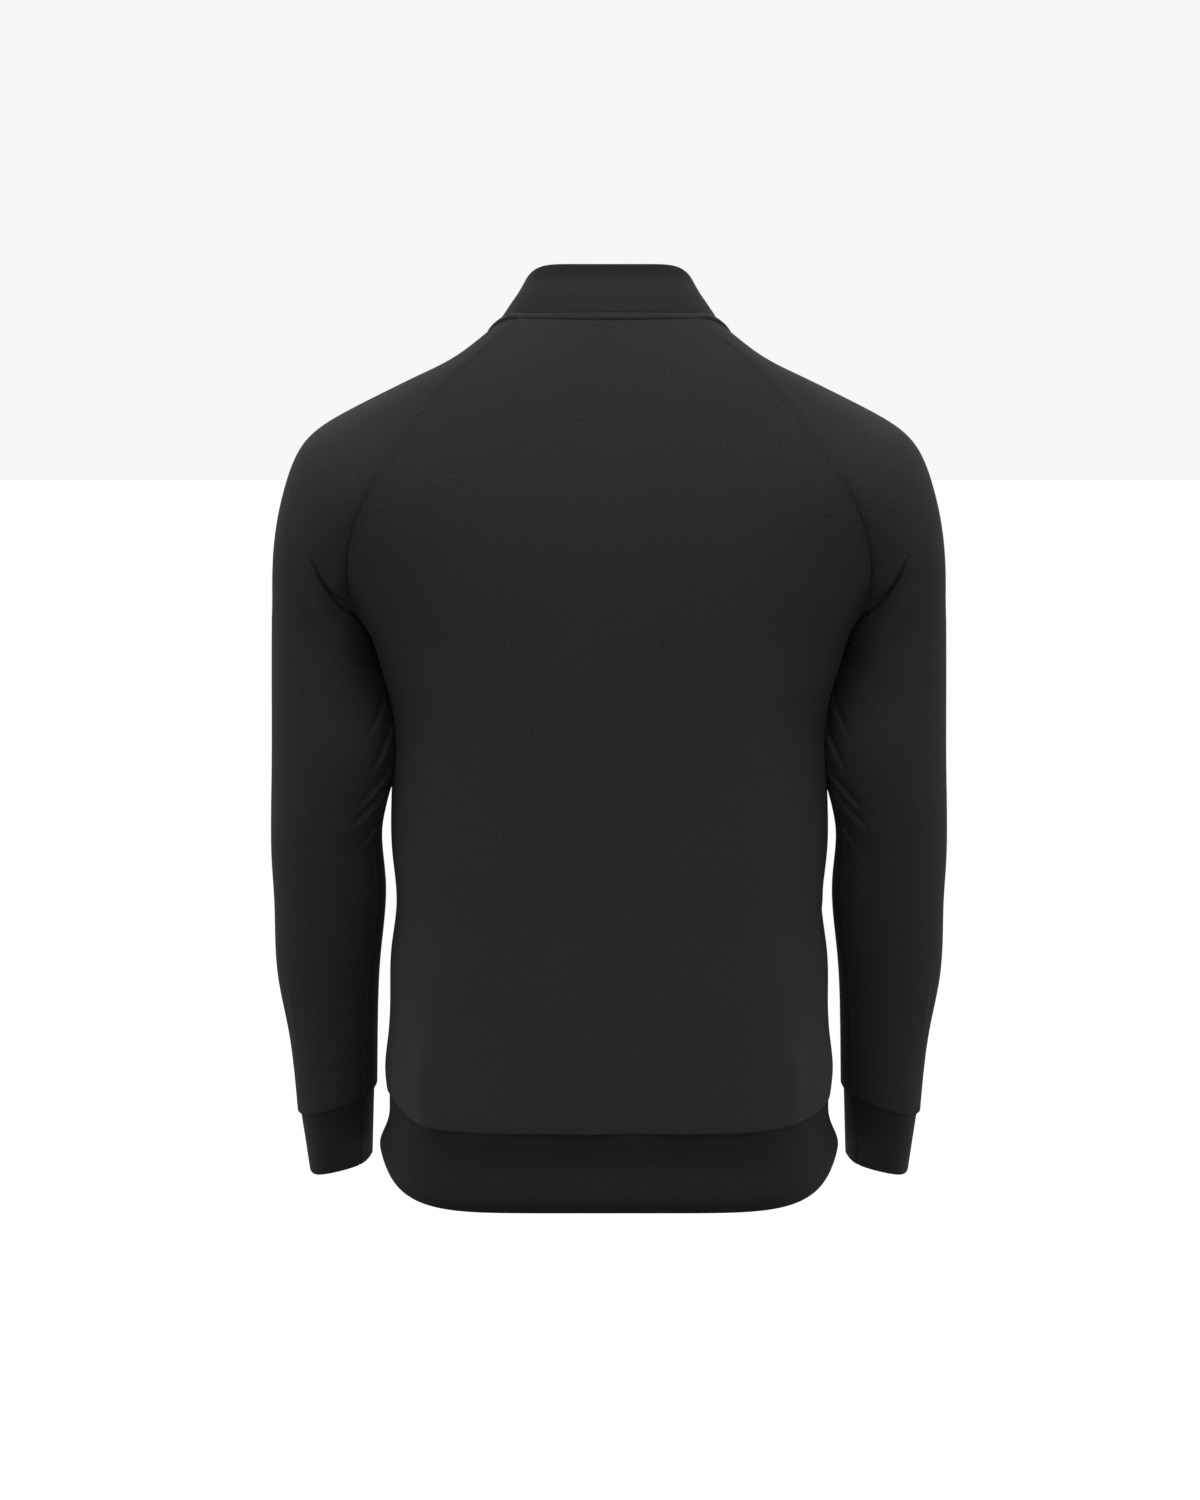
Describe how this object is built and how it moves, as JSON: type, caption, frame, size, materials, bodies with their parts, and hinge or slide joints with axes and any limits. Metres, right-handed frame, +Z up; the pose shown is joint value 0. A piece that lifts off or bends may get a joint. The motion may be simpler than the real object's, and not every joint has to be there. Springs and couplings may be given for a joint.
{
  "type": "sports jersey",
  "caption": "Long-sleeved raglan training top, worn form: two body panels, set raglan sleeves, stand collar, ribbed hem band and cuffs; neck, hem and cuffs open.",
  "frame": {"origin": "middle of the neck opening, at the height of the two points where the collar meets the shoulder line; the wearer's neck and shoulders hold the garment up there", "axes": "+Z up toward the collar, +Y toward the back of the garment (the wearer faces -Y), +X toward the wearer's left sleeve"},
  "size_m": [0.5226, 0.2522, 0.7252],
  "materials": {
    "body_knit": "matte double-knit polyester",
    "sleeve_knit": "matte double-knit polyester",
    "collar_rib": "matte fine rib knit",
    "band_rib": "matte knit band",
    "cuff_rib": "matte rib knit"
  },
  "bodies": {
    "root": {"back": "body_knit", "front": "body_knit", "sleeve_left": "sleeve_knit", "sleeve_right": "sleeve_knit", "collar": "collar_rib", "hem_band": "band_rib", "cuff_left": "cuff_rib", "cuff_right": "cuff_rib"}
  },
  "joints": []
}
